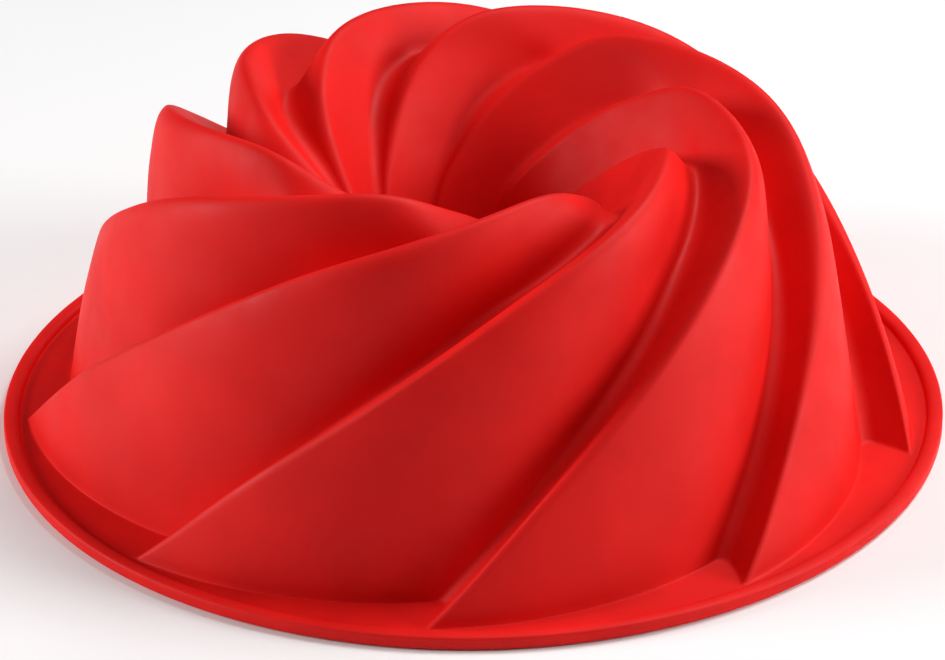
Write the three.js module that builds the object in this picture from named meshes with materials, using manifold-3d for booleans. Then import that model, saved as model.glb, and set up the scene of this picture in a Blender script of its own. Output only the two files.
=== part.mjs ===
// Swirl bundt pan: a silicone mould standing upside down on its rim, in millimetres.
// +Z points up, from the rim plane to the crown. The origin is the centre of the rim plane.
//
// The pan is one closed skin. It runs from the flange up the outer wall, over the crown and
// down the centre tube, then back along the batter side to the underside of the flange, and
// round the bead. Nine swirled lobes are pressed into it. Each lobe has a crest line, a broad
// face that falls from the crest to a valley, and a short face that rises to the next crest.
import * as THREE from 'three';
import { mergeVertices } from 'three/addons/utils/BufferGeometryUtils.js';
import Module from 'manifold-3d';

// Rim
const rimRadius = 120;
const beadWidth = 4;
const beadHeight = 3.6;
const beadCornerRadius = 1;
const flangeThickness = 1.8;

// Swirl
const lobeCount = 9;
const lobePitch = (2 * Math.PI) / lobeCount;
const firstTipAngle = THREE.MathUtils.degToRad(-176.2);
const wallThickness = 2;
// Up to this height the faces sink level, so that every lobe meets the flange in one plane.
const levelHeight = 30;

// Stations down one lobe, from the flange, over the crown, to the end of the centre tube.
// radius, height and twist (degrees, counter-clockwise from above) place the crest line.
// depth is how far the valley lies below the crest, and valley is its place in the pitch.
// broadCrest and broadValley are the broad face's slopes at its two ends, 1 being even, and
// shortCrest and shortValley are the short face's.
const stationFields = [
  'radius', 'height', 'twist', 'depth', 'valley', 'broadCrest', 'broadValley', 'shortCrest', 'shortValley',
];
const stations = [
  [114.2, 1.8, 0, 14.2, 1.08, 0.8, 1.1, 0.6, 0.8],
  [101, 32, 17, 13, 1.05, 0.3, 1.8, 1, 0.9],
  [88, 61.5, 41.5, 16.5, 1.03, -0.2, 1.9, 1.3, 0.6],
  [76, 78.7, 65.5, 17.5, 0.88, -0.8, 0.6, 1, 0.8],
  [58, 85.8, 99.5, 14, 0.46, 0, 0.2, 0.5, 1],
  [45.8, 78.2, 122.5, 11, 0.16, 0.9, 0.6, 0.3, 1.7],
  [32.2, 63, 145.5, 5, 0.07, 1.2, 1.2, 0.7, 1.8],
  [22, 42.5, 170, 1.5, 0.1, 1, 1.5, 0.9, 1.5],
  [15, 8, 177, 0, 0.3, 0.5, 1.5, 0.8, 1.2],
].map((values) => Object.fromEntries(stationFields.map((field, i) => [field, values[i]])));
// The crest line runs this share of its length to either side to give its direction.
const crestRun = 1 / (stations.length - 1);

// Stiffening ring inside the bead, and the moulding-pin holes that reach it from below
const ringWireRadius = 0.9;
const ringChannelRadius = 1.2;
const ringRadius = rimRadius - beadWidth / 2;
const pinHoleRadius = 0.8;
const pinHoleCount = lobeCount;

// Mesh fineness
const skinRowsPerStation = 3;
const batterRowsPerStation = 2;
const broadColumns = 6;
const shortColumns = 3;
const beadCornerSteps = 2;
const ringSegments = 90;
const ringSides = 8;

const columnsPerLobe = broadColumns + shortColumns;
const columnCount = columnsPerLobe * lobeCount;
const broadShareOfRim = 0.9;

const curveThrough = (read) => new THREE.CatmullRomCurve3(
  stations.map((station) => new THREE.Vector3(...read(station))), false, 'catmullrom', 0.5);
const crestLine = curveThrough((s) => [s.radius, s.height, THREE.MathUtils.degToRad(s.twist)]);
const valleyLine = curveThrough((s) => [s.depth, s.valley, 0]);
const broadFace = curveThrough((s) => [s.broadCrest, s.broadValley, 0]);
const shortFace = curveThrough((s) => [s.shortCrest, s.shortValley, 0]);

// A smooth rise from 0 to 1 with a given slope at each end.
function rise(t, startSlope, endSlope) {
  const start = (t ** 3 - 2 * t ** 2 + t) * startSlope;
  const end = (t ** 3 - t ** 2) * endSlope;
  return start + 3 * t ** 2 - 2 * t ** 3 + end;
}

// One column's place across a lobe at a share of the way down it: turn in pitches, drop in 0..1.
function acrossLobe(share, column) {
  const valley = valleyLine.getPoint(share).y;
  if (column <= broadColumns) {
    const slopes = broadFace.getPoint(share);
    const t = column / broadColumns;
    return { turn: valley * t, drop: rise(t, slopes.x, slopes.y) };
  }
  const slopes = shortFace.getPoint(share);
  const t = (column - broadColumns) / shortColumns;
  return { turn: valley + (1 - valley) * t, drop: rise(1 - t, slopes.x, slopes.y) };
}

// A point of the outer skin.
function skinPoint(share, index) {
  const lobe = Math.floor(index / columnsPerLobe);
  const { turn, drop } = acrossLobe(share, index - lobe * columnsPerLobe);
  const crest = crestLine.getPoint(share);
  const along = crestLine.getPoint(Math.min(share + crestRun, 1));
  along.sub(crestLine.getPoint(Math.max(share - crestRun, 0)));
  const tilt = THREE.MathUtils.smoothstep(crest.y - flangeThickness, 0, levelHeight);
  const outward = new THREE.Vector2(along.y, -along.x * tilt).normalize();
  const sink = valleyLine.getPoint(share).x * drop;
  const radius = crest.x - sink * outward.x;
  const height = crest.y - sink * outward.y;
  const angle = firstTipAngle + crest.z + (lobe + turn) * lobePitch;
  return new THREE.Vector3(radius * Math.cos(angle), radius * Math.sin(angle), height);
}

// A point of the batter side: the skin point moved in so that both faces beside it lie one
// wall thickness inside the outer ones.
function batterPoint(share, index) {
  const step = 0.002;
  const here = skinPoint(share, index);
  const down = skinPoint(Math.min(share + step, 1), index);
  const up = skinPoint(Math.max(share - step, 0), index);
  const next = skinPoint(share, (index + 1) % columnCount);
  const previous = skinPoint(share, (index + columnCount - 1) % columnCount);
  const along = down.sub(up);
  const nextNormal = next.sub(here).cross(along).normalize();
  const previousNormal = here.clone().sub(previous).cross(along).normalize();
  const miter = wallThickness / (1 + nextNormal.dot(previousNormal));
  return here.addScaledVector(nextNormal.add(previousNormal), -miter);
}

const ringOf = (pointAt) => Array.from({ length: columnCount }, (_, index) => pointAt(index));

function skinRows() {
  const steps = (stations.length - 1) * skinRowsPerStation;
  return Array.from({ length: steps + 1 }, (_, i) => ringOf((index) => skinPoint(i / steps, index)));
}

function batterRows() {
  const steps = (stations.length - 1) * batterRowsPerStation;
  const rows = [];
  for (let i = steps; i > 0; i -= 1) rows.push(ringOf((index) => batterPoint(i / steps, index)));
  const mouth = ringOf((index) => batterPoint(0, index).setZ(0));
  return [...rows, mouth];
}

// A circle whose columns stay in step with the lobes.
function circleRow(radius, height) {
  return ringOf((index) => {
    const lobe = Math.floor(index / columnsPerLobe);
    const column = index - lobe * columnsPerLobe;
    const turn = column <= broadColumns
      ? (broadShareOfRim * column) / broadColumns
      : broadShareOfRim + ((1 - broadShareOfRim) * (column - broadColumns)) / shortColumns;
    const angle = firstTipAngle + (lobe + turn) * lobePitch;
    return new THREE.Vector3(radius * Math.cos(angle), radius * Math.sin(angle), height);
  });
}

// The bead from the underside of the rim, round its outside and top, to the flange.
function beadRows() {
  const outline = new THREE.Path();
  const inner = rimRadius - beadWidth;
  const corner = beadCornerRadius;
  const quarter = Math.PI / 2;
  outline.absarc(rimRadius - corner, corner, corner, -quarter, 0, false);
  outline.absarc(rimRadius - corner, beadHeight - corner, corner, 0, quarter, false);
  outline.absarc(inner + corner, beadHeight - corner, corner, quarter, 2 * quarter, false);
  outline.lineTo(inner, flangeThickness);
  const points = outline.curves.flatMap((curve) => (
    curve.isLineCurve ? [curve.v2] : curve.getPoints(beadCornerSteps)));
  return points.map((point) => circleRow(point.x, point.y));
}

// Closes a list of rings into one skin, joined end to end.
function closedSkin(rows) {
  const positions = rows.flat().flatMap((point) => [point.x, point.y, point.z]);
  const indices = [];
  for (let r = 0; r < rows.length; r += 1) {
    const here = r * columnCount;
    const below = ((r + 1) % rows.length) * columnCount;
    for (let c = 0; c < columnCount; c += 1) {
      const d = (c + 1) % columnCount;
      indices.push(here + c, here + d, below + d, here + c, below + d, below + c);
    }
  }
  const geometry = new THREE.BufferGeometry();
  geometry.setAttribute('position', new THREE.Float32BufferAttribute(positions, 3));
  geometry.setIndex(indices);
  return geometry;
}

const wasm = await Module();
wasm.setup();

function toSolid(geometry) {
  const bare = geometry.clone();
  bare.deleteAttribute('normal');
  bare.deleteAttribute('uv');
  const merged = mergeVertices(bare, 1e-3);
  const vertProperties = merged.attributes.position.array;
  const triVerts = new Uint32Array(merged.index.array);
  return new wasm.Manifold(new wasm.Mesh({ numProp: 3, vertProperties, triVerts }));
}

function toGeometry(solid) {
  const mesh = solid.getMesh();
  const geometry = new THREE.BufferGeometry();
  geometry.setAttribute('position', new THREE.Float32BufferAttribute(mesh.vertProperties, 3));
  geometry.setIndex([...mesh.triVerts]);
  geometry.computeVertexNormals();
  return geometry;
}

const wireRing = (wireRadius) => new THREE.TorusGeometry(
  ringRadius, wireRadius, ringSides, ringSegments).translate(0, 0, beadHeight / 2);

function pinHole(index) {
  const angle = ((index + 0.5) * 2 * Math.PI) / pinHoleCount;
  const hole = new THREE.CylinderGeometry(pinHoleRadius, pinHoleRadius, beadHeight, ringSides);
  hole.rotateX(Math.PI / 2);
  return hole.translate(ringRadius * Math.cos(angle), ringRadius * Math.sin(angle), 0);
}

function panGeometry() {
  let pan = toSolid(closedSkin([...skinRows(), ...batterRows(), ...beadRows()]));
  pan = pan.subtract(toSolid(wireRing(ringChannelRadius)));
  for (let i = 0; i < pinHoleCount; i += 1) pan = pan.subtract(toSolid(pinHole(i)));
  return toGeometry(pan);
}

function namedMesh(name, geometry, material) {
  const mesh = new THREE.Mesh(geometry, new THREE.MeshStandardMaterial(material));
  mesh.name = name;
  return mesh;
}

const silicone = { color: 0xd01f1a, roughness: 0.6, metalness: 0 };
const ringSteel = { color: 0xb9bcc0, roughness: 0.35, metalness: 1 };

const bundtPan = new THREE.Group();
bundtPan.add(
  namedMesh('pan_body', panGeometry(), silicone),
  namedMesh('rim_stiffening_ring', wireRing(ringWireRadius), ringSteel),
);

export default bundtPan;
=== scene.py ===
# A red silicone swirl bundt pan, upside down on its rim: the looks, built on the CAD frame.
import math

import bpy
import numpy as np
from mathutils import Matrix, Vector


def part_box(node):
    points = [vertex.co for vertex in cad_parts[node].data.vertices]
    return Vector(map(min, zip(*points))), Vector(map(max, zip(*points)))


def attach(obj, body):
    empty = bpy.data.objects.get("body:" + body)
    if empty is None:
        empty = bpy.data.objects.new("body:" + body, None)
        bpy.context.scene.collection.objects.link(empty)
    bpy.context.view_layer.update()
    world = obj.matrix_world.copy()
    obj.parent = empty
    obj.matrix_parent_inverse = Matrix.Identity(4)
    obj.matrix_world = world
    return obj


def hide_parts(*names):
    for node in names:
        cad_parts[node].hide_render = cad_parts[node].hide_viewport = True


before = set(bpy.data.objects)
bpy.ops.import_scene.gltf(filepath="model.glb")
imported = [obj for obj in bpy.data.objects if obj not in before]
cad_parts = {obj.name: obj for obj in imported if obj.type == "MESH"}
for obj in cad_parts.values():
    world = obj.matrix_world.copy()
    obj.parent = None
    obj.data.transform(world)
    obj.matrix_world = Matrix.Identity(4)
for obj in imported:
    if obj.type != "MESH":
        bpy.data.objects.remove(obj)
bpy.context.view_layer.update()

MM = 0.001

# Rim sizes, in metres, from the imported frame. The bead is centred on the ring inside it, in
# width and in height, and the flange is half as thick as the bead is high.
PAN_LOW, PAN_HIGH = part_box("pan_body")
RING_LOW, RING_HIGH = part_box("rim_stiffening_ring")
RIM_RADIUS = (PAN_HIGH.x - PAN_LOW.x) / 2
WIRE_RADIUS = (RING_HIGH.z - RING_LOW.z) / 2
RING_RADIUS = (RING_HIGH.x - RING_LOW.x) / 2 - WIRE_RADIUS
BEAD_HEIGHT = RING_LOW.z + RING_HIGH.z
BEAD_WIDTH = 2 * (RIM_RADIUS - RING_RADIUS)
FLANGE_THICKNESS = BEAD_HEIGHT / 2
WALL = 2 * MM
RING_CLEARANCE = 0.3 * MM
CHANNEL_RADIUS = WIRE_RADIUS + RING_CLEARANCE
PIN_HOLE_RADIUS = 0.8 * MM

LOBES = 9
PITCH = 2 * math.pi / LOBES
FIRST_TIP = math.radians(-176.2)
# Up to this height the faces sink level, so that every lobe meets the flange in one plane.
LEVEL_HEIGHT = 30 * MM
# How far, in stations, the crest line runs to either side to give its direction.
RUN = 1.0

# Stations down one lobe, from the flange, over the crown, to the end of the centre tube:
# crest radius and height (mm), twist (degrees), valley depth (mm), valley place (pitches),
# slopes of the broad face at crest and valley, slopes of the short face at crest and valley,
# and how far the rounding reaches: from the crest along the broad and the short face, and
# from the valley along both (mm).
STATIONS = np.array([
    (114.2, 1.8, 0, 14.2, 1.08, 0.8, 1.1, 0.6, 0.8, 2, 1.7, 4.5),
    (101, 32, 17, 13, 1.05, 0.3, 1.8, 1, 0.9, 4.5, 2, 6),
    (88, 61.5, 41.5, 16.5, 1.03, -0.2, 1.9, 1.3, 0.6, 4, 3.5, 7),
    (76, 78.7, 65.5, 17.5, 0.88, -0.8, 0.6, 1, 0.8, 4.5, 5, 7),
    (58, 85.8, 99.5, 14, 0.46, 0, 0.2, 0.5, 1, 5.5, 3.5, 7),
    (45.8, 78.2, 122.5, 11, 0.16, 0.9, 0.6, 0.3, 1.7, 5, 3.5, 5),
    (32.2, 63, 145.5, 5, 0.07, 1.2, 1.2, 0.7, 1.8, 3.5, 2.5, 3.5),
    (22, 42.5, 170, 1.5, 0.1, 1, 1.5, 0.9, 1.5, 3, 1, 2.5),
    (15, 8, 177, 0, 0.3, 0.5, 1.5, 0.8, 1.2, 1.5, 1.5, 1.5),
], float)
UNITS = np.array([MM, MM, math.radians(1), MM, 1, 1, 1, 1, 1, MM, MM, MM])
NAMES = ("radius", "height", "twist", "depth", "valley", "broad_crest", "broad_valley",
         "short_crest", "short_valley", "crest_broad", "crest_short", "valley_round")

# Mesh fineness
ROWS_PER_STATION = 20
BROAD_STEPS = 28
SHORT_STEPS = 14
FILLET_STEPS = 8
COLUMNS = 2 * FILLET_STEPS + BROAD_STEPS + SHORT_STEPS
FACE_SAMPLES = 65
BEAD_CORNER_STEPS = 5
FLAT_SHARES = (0.33, 0.67)
PIN_HOLE_SIDES = 24
CHANNEL_STEP_ROUND, CHANNEL_STEP_ACROSS = 1.5, 20
SHARP_ANGLE = math.radians(50)

# Roundings. The shares are of a face's width, and the pull is of a rounding's own width.
CREST_MOST = 0.38
VALLEY_MOST = 0.55
FOOT_MOST = 0.45
WAY_STEP = 1 / 40
FILLET_PULL = 1.15
FOOT_FILLET = 0.9 * MM
MOUTH_FILLET = 0.8 * MM
# The batter side's roundings: its crests reach further, by this many walls, and its valleys less.
BATTER_BROAD_WALLS, BATTER_SHORT_WALLS = 2, 1.5
BATTER_VALLEY = 0.7

# Studio. Powers are in watts, floor and camera distances in metres, sensor and lens in mm.
KEY_LEFT_POWER, KEY_RIGHT_POWER, TOP_POWER = 10, 9, 10.5
WORLD_STRENGTH = 0.12
FLOOR_HALF, FLOOR_GAP = 3, 0.2 * MM
SENSOR, LENS = 36, 166.667
CAMERA_DISTANCE = 1.124
CAMERA_ELEVATION, CAMERA_LIFT, CAMERA_ROLL = np.radians([28.5, 0.98, -0.5])


def through_stations(place):
    """Every station value at places counted in stations, by Catmull-Rom."""
    values = STATIONS * UNITS
    first = 2 * values[0] - values[1]
    last = 2 * values[-1] - values[-2]
    points = np.vstack([first, values, last])
    i = np.clip(np.floor(place).astype(int), 0, len(values) - 2)
    t = (place - i)[:, None]
    a, b, c, d = points[i], points[i + 1], points[i + 2], points[i + 3]
    square, cube = 2 * a - 5 * b + 4 * c - d, 3 * b - a - 3 * c + d
    value = 0.5 * (2 * b + (c - a) * t + square * t**2 + cube * t**3)
    return dict(zip(NAMES, value.T[:, :, None]))


def outward_from_crest(place):
    """The way out from the crest line, in radius and height, by its run to either side."""
    last = len(STATIONS) - 1
    before = through_stations(np.clip(place - RUN, 0, last))
    after = through_stations(np.clip(place + RUN, 0, last))
    tilt = smoothstep((through_stations(place)["height"] - FLANGE_THICKNESS) / LEVEL_HEIGHT)
    out_r = after["height"] - before["height"]
    out_z = (before["radius"] - after["radius"]) * tilt
    length = np.hypot(out_r, out_z)
    return out_r / length, out_z / length


def rise(t, start_slope, end_slope):
    """A smooth rise from 0 to 1 with a given slope at each end."""
    start = (t**3 - 2 * t**2 + t) * start_slope
    end = (t**3 - t**2) * end_slope
    return start + 3 * t**2 - 2 * t**3 + end


def smoothstep(t):
    """A smooth rise from 0 to 1, level at both ends."""
    t = np.clip(t, 0, 1)
    return t * t * (3 - 2 * t)


def place_on_lobe(at, outward, turn, drop):
    """Points of the first lobe, from turn (in pitches past the crest) and drop (0 crest, 1 valley)."""
    sink = at["depth"] * drop
    radius = at["radius"] - sink * outward[0]
    height = at["height"] - sink * outward[1]
    angle = FIRST_TIP + at["twist"] + turn * PITCH
    return np.stack([radius * np.cos(angle), radius * np.sin(angle), height + 0 * angle], -1)


def turned(points, lobes):
    """The same points on a lobe further round."""
    a = lobes * PITCH
    spin = np.array([[math.cos(a), -math.sin(a), 0], [math.sin(a), math.cos(a), 0], [0, 0, 1]])
    return points @ spin.T


def unit(vectors):
    """The same directions, one long."""
    return vectors / np.maximum(np.linalg.norm(vectors, axis=-1, keepdims=True), 1e-12)


def face_normals(grid):
    """The outward direction at every point of a face."""
    return unit(np.cross(np.gradient(grid, axis=1), np.gradient(grid, axis=0)))


def sample(face, share):
    """Points of a face (rows, columns, 3) at a share across it, one share per row and column."""
    last = face.shape[1] - 1
    x = np.clip(share, 0, 1) * last
    i = np.minimum(x.astype(int), last - 1)
    t = (x - i)[..., None]
    rows = np.arange(face.shape[0])[:, None]
    return face[rows, i] * (1 - t) + face[rows, i + 1] * t


def way_across(face, share):
    """The direction of a face at a share across it."""
    return unit(sample(face, share + WAY_STEP) - sample(face, share - WAY_STEP))


def fillet(before, before_way, after, after_way):
    """A rounding between two faces, row by row, that leaves and meets them without a crease."""
    t = np.linspace(0, 1, FILLET_STEPS + 1)[None, :, None]
    pull = FILLET_PULL * np.linalg.norm(after - before, axis=-1, keepdims=True)
    curve = before * (2 * t**3 - 3 * t**2 + 1) + after * (3 * t**2 - 2 * t**3)
    return curve + pull * (before_way * (t**3 - 2 * t**2 + t) + after_way * (t**3 - t**2))


def face_width(face):
    """How wide a face is in each row."""
    return np.linalg.norm(np.diff(face, axis=1), axis=-1).sum(1)[:, None]


def lobe_columns(broad, short, crest_broad, crest_short, valley_round):
    """One lobe's columns: rounded crest, broad face, rounded valley, short face.
    The short face ends at the next lobe's crest."""
    broad_width, short_width = face_width(broad), face_width(short)
    crest_b = np.minimum(crest_broad / broad_width, CREST_MOST)
    crest_s = np.minimum(crest_short / short_width, CREST_MOST)
    valley_b = np.minimum(valley_round / broad_width, VALLEY_MOST)
    valley_s = np.minimum(valley_round / short_width, VALLEY_MOST)
    over_crest = fillet(turned(sample(short, 1 - crest_s), -1), turned(way_across(short, 1 - crest_s), -1),
                        sample(broad, crest_b), way_across(broad, crest_b))
    in_valley = fillet(sample(broad, 1 - valley_b), way_across(broad, 1 - valley_b),
                       sample(short, valley_s), way_across(short, valley_s))
    across = np.linspace(0, 1, BROAD_STEPS + 1)[None, 1:-1]
    broad_part = sample(broad, crest_b + (1 - crest_b - valley_b) * across)
    across = np.linspace(0, 1, SHORT_STEPS + 1)[None, 1:-1]
    short_part = sample(short, valley_s + (1 - valley_s - crest_s) * across)
    return np.concatenate([over_crest, broad_part, in_valley, short_part], 1)


def skins(place):
    """The outer skin and the batter side, as rows of points right round the pan."""
    at, outward = through_stations(place), outward_from_crest(place)
    fine = np.linspace(0, 1, FACE_SAMPLES)[None]
    broad_drop = rise(fine, at["broad_crest"], at["broad_valley"])
    short_drop = rise(1 - fine, at["short_crest"], at["short_valley"])
    broad = place_on_lobe(at, outward, at["valley"] * fine, broad_drop)
    short = place_on_lobe(at, outward, at["valley"] + (1 - at["valley"]) * fine, short_drop)
    outer = lobe_columns(broad, short, at["crest_broad"], at["crest_short"], at["valley_round"])
    inner = lobe_columns(broad - WALL * face_normals(broad), short - WALL * face_normals(short),
                         at["crest_broad"] + BATTER_BROAD_WALLS * WALL,
                         at["crest_short"] + BATTER_SHORT_WALLS * WALL,
                         BATTER_VALLEY * at["valley_round"])
    return [np.concatenate([turned(side, k) for k in range(LOBES)], 1) for side in (outer, inner)]


def circle(radius, height):
    """A circle with as many columns as the lobes, evenly spread and level with them at the crests."""
    column = np.arange(COLUMNS) - FILLET_STEPS / 2
    angle = FIRST_TIP + (np.arange(LOBES)[:, None] + column / COLUMNS).ravel() * PITCH
    return np.stack([radius * np.cos(angle), radius * np.sin(angle), np.full(angle.shape, height)], -1)


def arc(centre_r, centre_z, corner, start, end):
    """(radius, height) points round a corner, from one angle to another in degrees."""
    angles = np.radians(np.linspace(start, end, BEAD_CORNER_STEPS + 1))
    return [(centre_r + corner * math.cos(a), centre_z + corner * math.sin(a)) for a in angles]


def bead_outline():
    """(radius, height) points of the bead, from the underside round to the flange."""
    inner = RIM_RADIUS - BEAD_WIDTH
    low, outer_top, inner_top, foot = 0.9 * MM, 0.8 * MM, 1.3 * MM, 0.6 * MM
    dome = 0.12 * MM
    points = arc(RIM_RADIUS - low, low, low, -90, 0)
    points += arc(RIM_RADIUS - outer_top, BEAD_HEIGHT - dome - outer_top, outer_top, 0, 75)
    points += [(RIM_RADIUS - BEAD_WIDTH / 2, BEAD_HEIGHT)]
    points += arc(inner + inner_top, BEAD_HEIGHT - dome - inner_top, inner_top, 100, 180)
    points += arc(inner - foot, FLANGE_THICKNESS + foot, foot, 0, -90)
    return points


def towards(start, end, reach):
    """Points a fixed reach from start on the way to end, or a share of the way if that is nearer."""
    way = end - start
    length = np.linalg.norm(way, axis=-1, keepdims=True)
    return start + way * np.minimum(reach / length, FOOT_MOST)


def bend(start, corner, end):
    """Rows of points that round off a corner row between two rows."""
    t = np.linspace(0, 1, FILLET_STEPS)[:, None, None]
    return start * (1 - t) ** 2 + 2 * corner * t * (1 - t) + end * t**2


def across_flat(start, end):
    """The rows inside a flat band between two rows."""
    return [start + (end - start) * share for share in FLAT_SHARES]


def pan_mesh():
    """The whole moulding as one closed skin of rings, joined end to end."""
    stations = len(STATIONS) - 1
    place = np.linspace(0, stations, stations * ROWS_PER_STATION + 1)
    outer, inner = skins(place)
    mouth = inner[0].copy()
    mouth[:, 2] = 0
    foot = outer[0]
    foot[:, 2] = FLANGE_THICKNESS
    low = circle(RIM_RADIUS - BEAD_WIDTH, 0)
    bead = [circle(r, z) for r, z in bead_outline()]
    on_flange, on_wall = towards(foot, bead[-1], FOOT_FILLET), towards(foot, outer[1], FOOT_FILLET)
    edge, under = towards(mouth, inner[1], MOUTH_FILLET), towards(mouth, low, MOUTH_FILLET)
    rows = list(outer[1:]) + list(inner[:0:-1]) + list(bend(edge, mouth, under))
    rows += across_flat(under, low) + [low] + bead
    rows += across_flat(bead[-1], on_flange) + list(bend(on_flange, foot, on_wall))
    return np.array(rows)


def closed_grid(name, rows):
    """A mesh from rings of points, closed both ways."""
    r, c = rows.shape[:2]
    index = np.arange(r * c).reshape(r, c)
    below, right = np.roll(index, -1, 0), np.roll(index, -1, 1)
    both = np.roll(below, -1, 1)
    faces = np.stack([index, right, both, below], -1).reshape(-1, 4)
    mesh = bpy.data.meshes.new(name)
    mesh.from_pydata(rows.reshape(-1, 3).tolist(), [], faces.tolist())
    mesh.polygons.foreach_set("use_smooth", [True] * len(mesh.polygons))
    mesh.update()
    piece = bpy.data.objects.new(name, mesh)
    bpy.context.scene.collection.objects.link(piece)
    return piece


def closed_post(radius, centre_x, centre_y, low, high):
    """The points and faces of a closed upright post."""
    sides = PIN_HOLE_SIDES
    angles = np.linspace(0, 2 * math.pi, sides, endpoint=False)
    around = np.stack([centre_x + radius * np.cos(angles), centre_y + radius * np.sin(angles)], -1)
    points = [(x, y, z) for z in (low, high) for x, y in around]
    faces = [(i, (i + 1) % sides, sides + (i + 1) % sides, sides + i) for i in range(sides)]
    faces += [tuple(range(sides - 1, -1, -1)), tuple(range(sides, 2 * sides))]
    return points, faces


def channel_cutter():
    """The hollow round the stiffening ring, as a closed ring."""
    around = np.radians(np.arange(0, 360, CHANNEL_STEP_ROUND))
    section = np.radians(np.arange(0, 360, CHANNEL_STEP_ACROSS))[:, None]
    radius = RING_RADIUS + CHANNEL_RADIUS * np.cos(section)
    height = BEAD_HEIGHT / 2 + CHANNEL_RADIUS * np.sin(section) + 0 * around
    rows = np.stack([radius * np.cos(around), radius * np.sin(around), height], -1)
    return closed_grid("channel_cutter", rows[::-1])


def pin_hole_cutter():
    """The moulding-pin holes, one to a lobe, from the underside up to the channel."""
    points, faces = [], []
    for i in range(LOBES):
        angle = (i + 0.5) * PITCH
        x, y = RING_RADIUS * math.cos(angle), RING_RADIUS * math.sin(angle)
        post_points, post_faces = closed_post(PIN_HOLE_RADIUS, x, y, -BEAD_HEIGHT / 2, BEAD_HEIGHT / 2)
        faces += [tuple(len(points) + k for k in face) for face in post_faces]
        points += post_points
    mesh = bpy.data.meshes.new("pin_hole_cutter")
    mesh.from_pydata(points, [], faces)
    cutter = bpy.data.objects.new("pin_hole_cutter", mesh)
    bpy.context.scene.collection.objects.link(cutter)
    return cutter


def cut_away(piece, cutter):
    """Takes the cutter's shape out of the piece, and then removes the cutter."""
    cut = piece.modifiers.new("cut", "BOOLEAN")
    cut.object, cut.operation, cut.solver = cutter, "DIFFERENCE", "EXACT"
    result = bpy.data.meshes.new_from_object(piece.evaluated_get(bpy.context.evaluated_depsgraph_get()))
    piece.modifiers.remove(cut)
    piece.data = result
    bpy.data.objects.remove(cutter)


def noise_material(name):
    """A new material, its shader, and two functions: one varies a socket between two colours by
    noise, and the other gives the surface a fine grain."""
    material = bpy.data.materials.new(name)
    material.use_nodes = True
    nodes, links = material.node_tree.nodes, material.node_tree.links
    shader = nodes["Principled BSDF"]
    place = nodes.new("ShaderNodeTexCoord").outputs["Object"]
    stops, grain_detail = (0.35, 0.65), 2

    def noise(scale, detail):
        node = nodes.new("ShaderNodeTexNoise")
        node.inputs["Scale"].default_value = scale
        node.inputs["Detail"].default_value = detail
        links.new(place, node.inputs["Vector"])
        return node.outputs["Fac"]

    def vary(socket, low, high, scale, detail):
        node = nodes.new("ShaderNodeValToRGB")
        for element, position, colour in zip(node.color_ramp.elements, stops, (low, high)):
            element.position = position
            element.color = (*colour, 1)
        links.new(noise(scale, detail), node.inputs["Fac"])
        links.new(node.outputs["Color"], shader.inputs[socket])

    def grain(scale, strength, depth):
        bump = nodes.new("ShaderNodeBump")
        bump.inputs["Strength"].default_value = strength
        bump.inputs["Distance"].default_value = depth
        links.new(noise(scale, grain_detail), bump.inputs["Height"])
        links.new(bump.outputs["Normal"], shader.inputs["Normal"])

    return material, shader, vary, grain


def silicone():
    """Matte red moulded silicone: faint clouding, an uneven soft sheen and a fine grain."""
    material, shader, vary, grain = noise_material("red_silicone")
    vary("Base Color", (0.68, 0.0045, 0.0030), (0.78, 0.0065, 0.0045), scale=38, detail=3)
    vary("Roughness", (0.54,) * 3, (0.64,) * 3, scale=90, detail=5)
    grain(scale=1400, strength=0.12, depth=0.12 * MM)
    shader.inputs["IOR"].default_value = 1.40
    shader.inputs["Specular IOR Level"].default_value = 0.3
    return material


def ring_steel():
    """Bright drawn wire, with fine uneven rub marks."""
    material, shader, vary, grain = noise_material("drawn_ring_steel")
    vary("Base Color", (0.58, 0.59, 0.60), (0.72, 0.73, 0.74), scale=220, detail=3)
    vary("Roughness", (0.24,) * 3, (0.38,) * 3, scale=600, detail=4)
    grain(scale=2500, strength=0.1, depth=0.05 * MM)
    shader.inputs["Metallic"].default_value = 1
    return material


def floor_paper():
    """Plain pale studio paper, very slightly uneven."""
    material, shader, vary, grain = noise_material("studio_paper")
    vary("Base Color", (0.89, 0.89, 0.89), (0.91, 0.91, 0.91), scale=3, detail=2)
    grain(scale=900, strength=0.05, depth=0.1 * MM)
    shader.inputs["Roughness"].default_value = 0.9
    return material


def area_light(name, place, size, power):
    """A round soft light aimed at the middle of the pan."""
    data = bpy.data.lights.new(name, "AREA")
    data.shape = "DISK"
    data.size = size
    data.energy = power
    lamp = bpy.data.objects.new(name, data)
    bpy.context.scene.collection.objects.link(lamp)
    lamp.location = place
    aim = Vector((0, 0, PAN_HIGH.z / 2)) - Vector(place)
    lamp.rotation_euler = aim.to_track_quat("-Z", "Y").to_euler()


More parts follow.
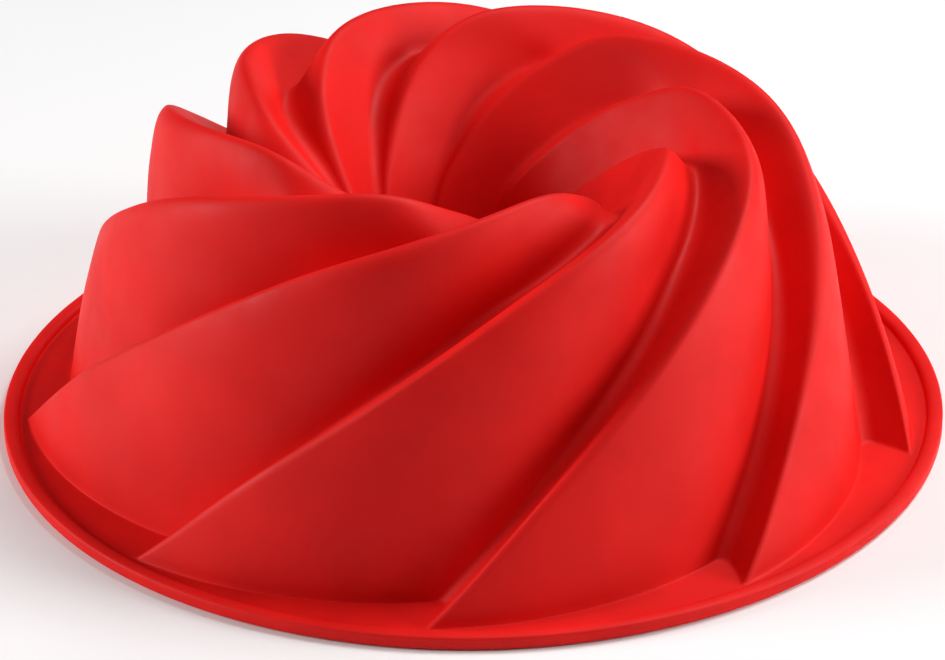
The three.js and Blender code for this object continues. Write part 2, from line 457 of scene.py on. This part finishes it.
def studio():
    """A pale floor and three soft white lights, in a dim white surrounding."""
    world = bpy.data.worlds.new("studio")
    bpy.context.scene.world = world
    world.use_nodes = True
    world.node_tree.nodes["Background"].inputs["Color"].default_value = (1, 1, 1, 1)
    world.node_tree.nodes["Background"].inputs["Strength"].default_value = WORLD_STRENGTH
    mesh = bpy.data.meshes.new("studio_floor")
    sides = (-1, -1), (1, -1), (1, 1), (-1, 1)
    corners = [(x * FLOOR_HALF, y * FLOOR_HALF, -FLOOR_GAP) for x, y in sides]
    mesh.from_pydata(corners, [], [(0, 1, 2, 3)])
    mesh.materials.append(floor_paper())
    floor = bpy.data.objects.new("studio_floor", mesh)
    bpy.context.scene.collection.objects.link(floor)
    area_light("key_left", (-1.1, -0.1, 0.4), 0.5, KEY_LEFT_POWER)
    area_light("key_right", (1.1, -0.15, 0.45), 0.5, KEY_RIGHT_POWER)
    area_light("top", (0.55, 0.35, 1.1), 0.6, TOP_POWER)
    # The default view transform turns a saturated red pink.
    bpy.context.scene.view_settings.view_transform = "Standard"


def camera():
    """A long lens from in front, looking down on the pan."""
    data = bpy.data.cameras.new("camera")
    data.sensor_width = SENSOR
    data.lens = LENS
    cam = bpy.data.objects.new("camera", data)
    bpy.context.scene.collection.objects.link(cam)
    back, up = math.cos(CAMERA_ELEVATION), math.sin(CAMERA_ELEVATION)
    cam.location = (0, -CAMERA_DISTANCE * back, CAMERA_DISTANCE * up)
    cam.rotation_mode = "ZYX"
    cam.rotation_euler = (math.pi / 2 - CAMERA_ELEVATION + CAMERA_LIFT, 0, CAMERA_ROLL)
    bpy.context.scene.camera = cam


pan = closed_grid("pan_moulding", pan_mesh())
cut_away(pan, channel_cutter())
cut_away(pan, pin_hole_cutter())
pan.data.set_sharp_from_angle(angle=SHARP_ANGLE)
pan.data.materials.append(silicone())
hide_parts("pan_body")
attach(pan, "root")

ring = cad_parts["rim_stiffening_ring"]
ring.data.materials.clear()
ring.data.materials.append(ring_steel())

studio()
camera()
